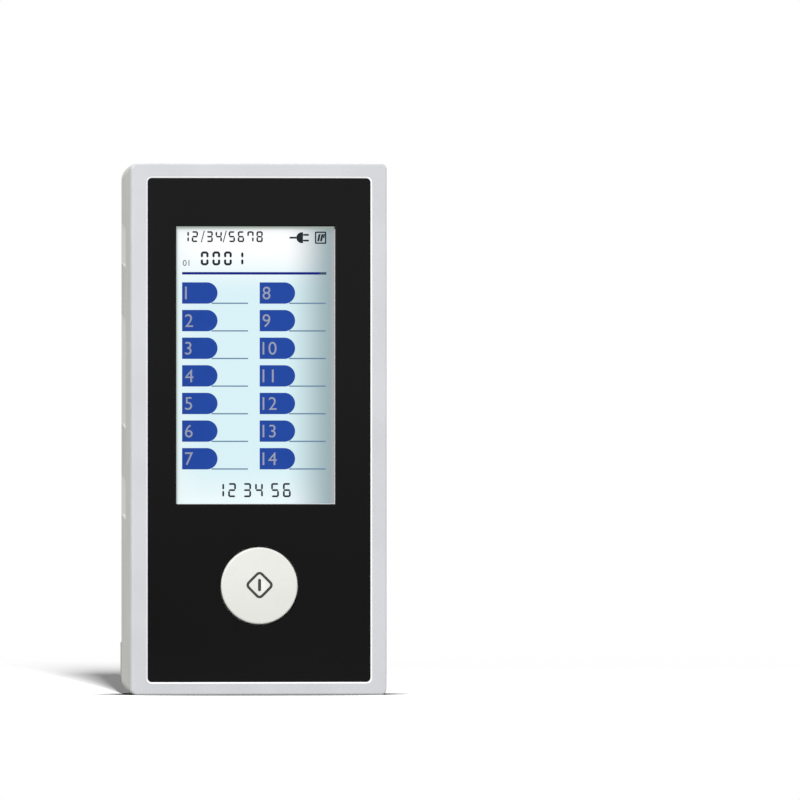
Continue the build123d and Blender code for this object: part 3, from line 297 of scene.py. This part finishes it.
def rod(low, high, centre, width):
    """A bar standing upright with pointed ends, as (z, left, right)."""
    half = width / 2
    heights = [low, low + half, high - half, high]
    reach = np.array([0.02, half, half, 0.02])
    return heights, centre - reach, centre + reach


def bar(left, right, middle, width):
    """A bar lying level with pointed ends, as (z, left, right)."""
    half = width / 2
    heights = [middle - half, middle, middle + half]
    return heights, [left + half, left, left + half], [right - half, right, right - half]


LIT = {
    "0": "abcdef", "1": "bc", "2": "abdeg", "3": "abcdg", "4": "bcfg",
    "5": "acdfg", "6": "acdefg", "7": "abcf", "8": "abcdefg", "9": "abcdfg",
}


def digit(number, left, low, width, height, stroke):
    """The lit bars of one seven-bar digit whose lower left corner is at left, low."""
    right = left + width
    middle = low + height / 2
    high = low + height
    gap = stroke * 0.35
    bars = {
        "a": bar(left + gap, right - gap, high - stroke / 2, stroke),
        "b": rod(middle + gap, high - gap, right - stroke / 2, stroke),
        "c": rod(low + gap, middle - gap, right - stroke / 2, stroke),
        "d": bar(left + gap, right - gap, low + stroke / 2, stroke),
        "e": rod(low + gap, middle - gap, left + stroke / 2, stroke),
        "f": rod(middle + gap, high - gap, left + stroke / 2, stroke),
        "g": bar(left + gap, right - gap, middle, stroke),
    }
    return [bars[key] for key in LIT[number]]


def figures(text, left, step, low, size, stroke):
    """The lit bars of digits side by side, each a step to the right of the last."""
    lit = []
    for place, number in enumerate(text):
        lit += digit(number, left + step * place, low, *size, stroke)
    return lit


def slant(left, right, low, high, width):
    """A straight bar that leans from left at the bottom to right at the top."""
    edges = np.array([left, right])
    return [low, high], edges, edges + width


# Lit segments: a date-like row, a four-figure counter and a clock-like row, all plain numbers.
print_y = -11.03
print_depth = 0.06
dark_segment = Finish("dark_segment", paint(40, 48, 58), 0.45, Specular_IOR_Level=0.05)
dark_segment.colour(dark_segment.blend(dark_segment.grain(0.8), paint(24, 30, 38), paint(44, 52, 60)))
date_low, date_step, date_size, date_stroke = 95.4, 1.93, (1.35, 2.3), 0.34
count_low, count_step, count_size, count_stroke = 90.5, 2.46, (1.65, 2.95), 0.48
clock_low, clock_step, clock_size, clock_stroke = 41.65, 2.5, (1.65, 2.98), 0.38
segments = []
for pair, left in zip(("12", "34", "56", "78"), (-16.05, -11.0, -6.3, -2.35)):
    segments += figures(pair, left, date_step, date_low, date_size, date_stroke)
for left in (-12.2, -7.55):
    segments.append(slant(left, left + 0.65, date_low - 0.05, date_low + 2.4, 0.2))
segments += figures("0001", -12.2, count_step, count_low, count_size, count_stroke)
for pair, left in zip(("12", "34", "56"), (-8.9, -3.2, 2.7)):
    segments += figures(pair, left, clock_step, clock_low, clock_size, clock_stroke)
slabs("display_segments", segments, print_y, print_depth, dark_segment, "case")

# Two plain marks at the top right: a plug and a charge level.
mark_middle, mark_stroke = 96.35, 0.38
plug_arc = np.linspace(-math.pi / 2, math.pi / 2, 13)
plug_r, plug_face = 1.15, 9.45
plug_head = (mark_middle + plug_r * np.sin(plug_arc), 9.2 - plug_r * np.cos(plug_arc), plug_face)
plug = [
    bar(6.5, 8.2, mark_middle, mark_stroke), plug_head,
    bar(9.4, 10.75, mark_middle + 0.6, mark_stroke),
    bar(9.4, 10.75, mark_middle - 0.6, mark_stroke),
]
box_left, box_right, box_low, box_high, box_stroke = 12.0, 14.35, 95.2, 97.5, 0.28
level_low, level_high = 95.6, 97.1
level = [
    bar(box_left, box_right, box_high, box_stroke), bar(box_left, box_right, box_low, box_stroke),
    rod(box_low - 0.12, box_high + 0.12, box_left + 0.12, box_stroke),
    rod(box_low - 0.12, box_high + 0.12, box_right - 0.12, box_stroke),
    slant(12.45, 12.75, level_low, level_high, 0.42), slant(13.05, 13.35, level_low, level_high, 0.42),
    slant(13.65, 13.8, 96.3, level_high, 0.3),
]
slabs("display_marks", plug + level, print_y, print_depth, dark_segment, "case")

# Blue fields, square at the left and round at the right, in two columns of seven.
tag_width, tag_height, tag_pitch = 7.5, 4.5, 5.82
tag_top = 86.93
column_lefts = (-16.15, 0.27)
line_rights = (-2.2, 14.24)
blue = Finish("tag_blue", paint(35, 72, 160), 0.4, Specular_IOR_Level=0.05)
blue.colour(blue.blend(blue.grain(5.0), paint(33, 69, 157), paint(38, 76, 164)))
round_height = np.sin(np.linspace(-math.pi / 2, math.pi / 2, 25)) * tag_height / 2
round_reach = np.sqrt(np.maximum(tag_height**2 / 4 - round_height**2, 0.0))
tag_middles = [tag_top - tag_height / 2 - row * tag_pitch for row in range(7)]
tags = [
    (middle + round_height, left, left + tag_width - tag_height / 2 + round_reach)
    for left in column_lefts for middle in tag_middles
]
slabs("display_tags", tags, print_y, print_depth, blue, "case")

navy = Finish("rule_navy", paint(15, 35, 130), 0.4, Specular_IOR_Level=0.05)
rule_x = navy.place()[0]
navy.colour(navy.blend(rule_x.above(12.7, 13.2), paint(15, 35, 130), paint(66, 80, 104)))
rule_low, rule_high, rule_left, rule_right = 88.57, 89.09, -16.15, 14.4
rule = ([rule_low, rule_high], rule_left, rule_right)
slabs("display_rule", [rule], print_y, print_depth, navy, "case")

slate = Finish("underline_slate", paint(122, 150, 174), 0.4, Specular_IOR_Level=0.05)
slate.colour(slate.blend(slate.grain(3.0), paint(98, 128, 158), paint(110, 138, 166)))
line_below, line_above, line_start = 0.04, 0.22, 1.25
underlines = [
    ([low - line_below, low + line_above], left + tag_width - line_start, right)
    for left, right in zip(column_lefts, line_rights)
    for low in np.array(tag_middles) - tag_height / 2
]
slabs("display_underlines", underlines, print_y, print_depth * 0.8, slate, "case")


def lettering(name, words, face_y, finish, body):
    """Plain numbers as one flat mesh. Each word is (text, left, low, height): a font curve made a mesh,
    scaled so that its figures are height tall, stood upright and moved to its place, in millimetres."""
    points, faces, count = [], [], 0
    for text, left, low, height in words:
        curve = bpy.data.curves.new(name, "FONT")
        curve.body = text
        curve.extrude = letter_rise / height
        writer = bpy.data.objects.new(name, curve)
        bpy.context.scene.collection.objects.link(writer)
        depsgraph = bpy.context.evaluated_depsgraph_get()
        flat = bpy.data.meshes.new_from_object(writer.evaluated_get(depsgraph))
        spots = np.empty(len(flat.vertices) * 3)
        flat.vertices.foreach_get("co", spots)
        spots = spots.reshape(-1, 3)
        size = height / np.ptp(spots[:, 1])
        spots = (spots - [spots[:, 0].min(), spots[:, 1].min(), 0.0]) * size
        points.append(np.stack([left + spots[:, 0], face_y - spots[:, 2], low + spots[:, 1]], axis=1))
        faces += [[count + corner for corner in polygon.vertices] for polygon in flat.polygons]
        count += len(spots)
        bpy.data.objects.remove(writer)
        bpy.data.meshes.remove(flat)
    piece(name, np.concatenate(points), faces, finish, body)


letter_rise = 0.02
letter_y = print_y - letter_rise
number_height = 2.7
lilac = Finish("tag_number", paint(152, 158, 180), 0.45, Specular_IOR_Level=0.05)
lilac.colour(lilac.blend(lilac.grain(1.0), paint(147, 153, 176), paint(158, 164, 186)))
tag_words = [
    (str(7 * column + row + 1), left + 0.6, middle - number_height / 2, number_height)
    for column, left in enumerate(column_lefts) for row, middle in enumerate(tag_middles)
]
lettering("display_tag_numbers", tag_words, letter_y, lilac, "case")
grey_print = Finish("small_number", paint(92, 104, 112), 0.45, Specular_IOR_Level=0.05)
grey_print.colour(grey_print.blend(grey_print.grain(0.8), paint(86, 98, 106), paint(100, 112, 120)))
small_number = ("01", -16.0, 90.38, 1.26)
lettering("display_small_number", [small_number], letter_y, grey_print, "case")

# ================================================================ start button
# Round cap moulded in white, slightly crowned, with a soft edge. The start mark, a rounded diamond
# round an upright bar, is printed in dark grey on its face.
cream = Finish("button_white", paint(240, 240, 234), 0.32, Coat_Weight=0.3, Coat_Roughness=0.15)
cap_x, cap_y, cap_z = cream.place()
cream.colour(cream.blend(cream.grain(6.0), paint(233, 233, 227), paint(240, 240, 234)))
cream.rough(0.3 + 0.08 * cream.grain(0.4))
cream.emboss(0.0015 * cream.grain(0.12, 1.0))
cream.dress("start_button")

button_z = 23.0
cap_front_y = -13.6
cap_r, cap_crown = 8.1, 0.25
cap_crown_r = (cap_r**2 + cap_crown**2) / (2 * cap_crown)


def on_cap(points, lift):
    """Lays flat x, z points on the crowned cap, lift in front of it: y follows the crown's sphere."""
    off = np.hypot(points[:, 0], points[:, 1] - button_z)
    face = cap_front_y + cap_crown_r - np.sqrt(cap_crown_r**2 - off**2)
    return np.stack([points[:, 0], face - lift, points[:, 1]], axis=1)


def cap_ring(name, path, width, finish):
    """A closed band of that width along a closed path of x, z points. It stands proud of the cap by
    ink_proud, and its back is sunk into the cap by ink_sunk."""
    along = np.roll(path, -1, axis=0) - np.roll(path, 1, axis=0)
    along /= np.linalg.norm(along, axis=1)[:, None]
    across = np.stack([along[:, 1], -along[:, 0]], axis=1) * width / 2
    outer, inner = path + across, path - across
    rings = [
        on_cap(outer, ink_proud), on_cap(inner, ink_proud),
        on_cap(inner, -ink_sunk), on_cap(outer, -ink_sunk),
    ]
    points = np.stack(rings, axis=1).reshape(-1, 3)
    count = len(path)
    start = np.arange(count)[:, None] * 4
    after = (np.arange(count)[:, None] + 1) % count * 4
    side = np.arange(4)[None, :]
    following = (side + 1) % 4
    quads = np.stack([start + side, after + side, after + following, start + following], axis=2)
    piece(name, points, quads.reshape(-1, 4), finish, "button")


ink_proud, ink_sunk = 0.02, 0.05
ink = Finish("button_mark", paint(46, 48, 46), 0.5)
ink.colour(ink.blend(ink.grain(0.5), paint(42, 44, 42), paint(54, 56, 54)))
diamond_half, diamond_r, mark_width = 2.52, 0.75, 0.54
mark_z = button_z + 0.15
quarter = np.radians(np.linspace(-45, 45, 9))
turns = np.concatenate([quarter + k * math.pi / 2 for k in range(4)])
heading = np.repeat(np.arange(4) * math.pi / 2, 9)
corner_reach = diamond_half - mark_width / 2 * 0.4 - diamond_r * math.sqrt(2) * 0.62
diamond = np.stack([
    corner_reach * np.cos(heading) + diamond_r * np.cos(turns),
    mark_z + corner_reach * np.sin(heading) + diamond_r * np.sin(turns),
], axis=1)
cap_ring("button_diamond", diamond, mark_width, ink)
half_bar, bar_r = 1.0, 0.16
stadium_turns = np.concatenate([np.linspace(0, math.pi, 9), np.linspace(math.pi, 2 * math.pi, 9)])
stadium = np.stack([
    bar_r * np.cos(stadium_turns),
    mark_z + np.repeat([half_bar, -half_bar], 9) + bar_r * np.sin(stadium_turns),
], axis=1)
cap_ring("button_bar", stadium, 2 * bar_r, ink)

# ================================================================ rear case, battery cover, tray cap
# Deep case moulded in warm grey with a fine spark-eroded texture. The cover over the battery and the
# cap on the tray's outer end are moulded in the same grey.
grey = Finish("warm_grey", paint(200, 200, 194), 0.55)
texture = grey.grain(0.16, 2.0)
tone = grey.grain(18.0)
grey_x, grey_y, grey_z = grey.place()
from_middle = abs(grey_x)
below_wall = (1.0 - from_middle.above(26.93, 26.98)) * from_middle.above(25.5, 25.6)
# Painted light: the scoop floors are coloured lighter, as if lit where they tilt towards the lamps.
scoop_painted_light = below_wall * grey_y.between(1.2, 11.5, 0.05) * grey_z.between(34, 101, 0.5)
warm = grey.blend(tone.above(0.3, 0.7), paint(197, 197, 191), paint(203, 203, 197))
grey.colour(grey.blend(scoop_painted_light, warm, paint(217, 219, 216)))
grey.rough(0.5 + 0.14 * texture)
grey.emboss(0.006 * texture)
grey.dress("rear_case", "battery_cover", "tray_cap")

# ================================================================ feet
# Soft grey bar across the lower back and two round pads at the top corners, pressed into the case.
soft = Finish("soft_grey", paint(150, 150, 146), 0.75)
soft_grain = soft.grain(0.3, 3.0)
soft.colour(soft.blend(soft_grain, paint(145, 145, 141), paint(156, 156, 152)))
soft.emboss(0.01 * soft_grain)
soft.dress("foot_bar", "foot_pads")

# ================================================================ tray and drive
# The tray is white moulded plastic, its gear natural acetal, its pinion brass. The guide under them
# is black, and the steel parts are bright plated.
white = Finish("moulded_white", paint(236, 236, 233), 0.42)
white.colour(white.blend(white.grain(9.0), paint(233, 233, 230), paint(240, 240, 237)))
white.emboss(0.002 * white.grain(0.2))
white.dress("strip_tray", "display_holder", "pack_connector")
tile_white = Finish("tile_white", paint(247, 247, 247), 0.8)
tile_white.colour(tile_white.blend(tile_white.grain(0.2), paint(245, 245, 245), paint(250, 250, 250)))
tile_white.dress("reference_tile")
acetal = Finish("acetal", paint(229, 227, 216), 0.35)
acetal.colour(acetal.blend(acetal.grain(2.0), paint(225, 223, 212), paint(233, 231, 221)))
acetal.dress("drive_gear")
moulded_black = Finish("moulded_black", paint(32, 32, 34), 0.5)
cloud = moulded_black.grain(7.0)
moulded_black.colour(moulded_black.blend(cloud, paint(29, 29, 31), paint(37, 37, 39)))
moulded_black.emboss(0.003 * moulded_black.grain(0.15))
moulded_black.dress("tray_guide", "home_sensor", "head_housing", "buzzer", "board_chips",
                    "colour_sensor", "tact_switch", "tact_plunger", "socket_tongue")
plated = Finish("plated_steel", paint(196, 197, 199), 0.25, Metallic=1.0)
brushed = plated.grain(0.4, 2.0, (1.0, 1.0, 0.08))
plated.rough(0.18 + 0.2 * brushed)
plated.dress("motor", "motor_clamp", "motor_shaft", "motor_screws", "gear_axle", "axle_clip",
             "guide_screws", "case_screws", "board_screws", "head_screws", "head_pins",
             "socket_shell", "clock_cell", "clock_cell_clip")
brass = Finish("cut_brass", paint(205, 170, 95), 0.28, Metallic=1.0)
brass.rough(0.22 + 0.16 * brass.grain(0.3))
brass.dress("motor_pinion")

# ================================================================ boards, display light, battery
# Glass laminate boards under green mask with fine copper tracks, the display's light guide and rubber
# connector strip, and the foil pack with its leads.
mask = Finish("board_green", paint(22, 92, 48), 0.3, Coat_Weight=0.5, Coat_Roughness=0.1)
track_x, track_y, track_z = mask.place()
tracks = (track_x * 4.4 + mask.grain(5.0) * 14.0).sine().above(0.55, 0.75)
mask.colour(mask.blend(tracks, paint(20, 84, 44), paint(38, 118, 64)))
mask.dress("main_board", "head_board")
guide_light = Finish("light_guide", paint(240, 246, 247), 0.3)
haze = guide_light.grain(3.0)
guide_light.colour(guide_light.blend(haze, paint(236, 243, 245), paint(245, 249, 250)))
guide_light.dress("display_backlight")
zebra = Finish("layered_rubber", paint(60, 60, 64), 0.7)
layers = (zebra.place()[0] * 20.0).sine().above(-0.2, 0.2)
zebra.colour(zebra.blend(layers, paint(30, 30, 33), paint(160, 160, 165)))
zebra.dress("display_connector_strip")
foil = Finish("pack_foil", paint(188, 190, 193), 0.35, Metallic=0.8)
foil.emboss(0.05 * foil.grain(5.0, 3.0))
foil.rough(0.3 + 0.15 * foil.grain(1.0))
foil.dress("battery_pack")
wire = Finish("lead_insulation", paint(150, 30, 26), 0.5)
lead_x = wire.place()[0]
wire.colour(wire.blend(lead_x.above(15.9, 16.1), paint(150, 28, 24), paint(28, 28, 30)))
wire.dress("battery_leads")
clear = Finish("clear_lens", paint(232, 238, 242), 0.08, Transmission_Weight=0.85, IOR=1.49)
clear.rough(0.06 + 0.04 * clear.grain(0.5))
clear.dress("head_lens", "head_leds")

# ================================================================ floor
# A pale floor that keeps the unit's shadow near it and fades to plain white farther out. Only the
# camera's own rays see it that bright, so that it hardly lights the unit from below. It is darkest
# where the unit stands on it and keeps the surround's light off.
floor_mesh = bpy.data.meshes.new("floor")
reach = 12.0
corners = [(-reach, -reach, 0), (reach, -reach, 0), (reach, reach, 0), (-reach, reach, 0)]
floor_mesh.from_pydata(corners, [], [(0, 1, 2, 3)])
floor = bpy.data.objects.new("floor", floor_mesh)
bpy.context.scene.collection.objects.link(floor)
ground = Finish("floor_white", (0.9, 0.9, 0.9), 0.9, Specular_IOR_Level=0.0)
seen = ground.add("ShaderNodeLightPath", output="Is Camera Ray")
# Painted contact shade: to the camera, the floor's colour darkens near the unit by an occlusion node.
near = ground.add("ShaderNodeAmbientOcclusion", {"samples": 24}, {"Distance": 0.045}, "AO")
seen_tone = ground.blend(near.above(0.5, 0.8), (0.0, 0.0, 0.0), (0.22, 0.22, 0.22))
ground.colour(ground.blend(seen, (0.07, 0.07, 0.07), seen_tone))
ground_x, ground_y, ground_z = ground.place()
far = (ground_x * ground_x + ground_y * ground_y).root().above(300, 620)
glow = ground.add("ShaderNodeEmission", None, {"Strength": seen * 0.8 + 0.2})
lit_floor = Wire(ground, ground.shader.outputs[0])
faded = ground.add("ShaderNodeMixShader", None, {0: far, 1: lit_floor, 2: glow})
ground.plug(ground.tree.nodes["Material Output"].inputs["Surface"], faded)
floor_mesh.materials.append(ground.material)

# ================================================================ surround and lamps
# The surround is plain white to the camera, in reflections and through clear pieces, and half as
# strong as a light. Four soft lamps light the unit alone. Two more light the floor alone: a tall one,
# low in front, that throws the long shadow back, and a weak one, high behind.
world = bpy.data.worlds.new("surround")
bpy.context.scene.world = world
world.use_nodes = True
sky = NodeTree(world.node_tree)
camera_ray, glossy_ray, clear_ray = (
    sky.add("ShaderNodeLightPath", output=kind)
    for kind in ("Is Camera Ray", "Is Glossy Ray", "Is Transmission Ray")
)
shown = camera_ray.larger(glossy_ray).larger(clear_ray)
background = world.node_tree.nodes["Background"]
sky.plug(background.inputs["Strength"], shown * 0.5 + 0.5)
sky.plug(background.inputs["Color"], (1.0, 1.0, 1.0))

middle = (0.0, 0.0, 0.056)
floor_only = bpy.data.collections.new("floor_only")
floor_only.objects.link(floor)
unit_only = bpy.data.collections.new("unit_only")
for obj in bpy.context.scene.objects:
    if obj.type == "MESH" and obj is not floor:
        unit_only.objects.link(obj)


def lamp(name, side, height, distance, width, tall, watts, lights):
    """A soft lamp aimed at the unit's middle. Side is degrees to the right of the front and height
    degrees above level, distance, width and tall are metres, and it lights one collection."""
    data = bpy.data.lights.new(name, "AREA")
    data.shape = "RECTANGLE"
    data.size, data.size_y = width, tall
    data.energy = watts
    obj = bpy.data.objects.new(name, data)
    bpy.context.scene.collection.objects.link(obj)
    turn, rise = math.radians(side), math.radians(height)
    obj.location = np.add(middle, distance * np.array([
        math.cos(rise) * math.sin(turn), -math.cos(rise) * math.cos(turn), math.sin(rise),
    ]))
    obj.rotation_euler = (math.pi / 2 - rise, 0.0, turn)
    obj.light_linking.receiver_collection = lights


lamp("key_lamp", -20, 30, 1.3, 0.7, 0.7, 10.4, unit_only)
lamp("side_lamp", -85, 20, 1.2, 0.8, 0.8, 2.4, unit_only)
lamp("right_lamp", 70, 25, 1.2, 0.8, 0.8, 3.0, unit_only)
lamp("back_lamp", 170, 45, 1.2, 0.8, 0.8, 5.0, unit_only)
lamp("low_floor_lamp", -3.6, 14.4, 3.0, 0.12, 0.7, 1700.0, floor_only)
lamp("high_floor_lamp", 176, 62, 3.0, 0.4, 0.4, 60.0, floor_only)

# ================================================================ camera
# A very long lens, level with the middle of the unit's height and a little to the left of its front.
# picture_scale is the picture's pixels to the metre at the unit, and the offsets, in metres there,
# are how far the unit stands from the picture's middle.
distance = 4.0
left_of_face, face_y, eye_z = 0.3862, -0.013, 0.056
picture_width = 800
picture_scale = 4747.0
offset_x, offset_z = 0.02964, 0.00613
camera_data = bpy.data.cameras.new("camera")
camera_data.sensor_width = 36.0
camera_data.clip_start = 0.05
camera_data.clip_end = 50.0
camera = bpy.data.objects.new("camera", camera_data)
bpy.context.scene.collection.objects.link(camera)
camera.location = (-left_of_face, face_y - distance, eye_z)
away = math.hypot(distance, left_of_face)
camera_data.lens = camera_data.sensor_width * picture_scale * away / picture_width
pan = math.atan(left_of_face / distance) + math.atan(offset_x / away)
tilt = math.atan(offset_z / away)
camera.rotation_euler = (math.pi / 2 + tilt, 0.0, -pan)
bpy.context.scene.camera = camera
bpy.context.scene.view_settings.view_transform = "Standard"
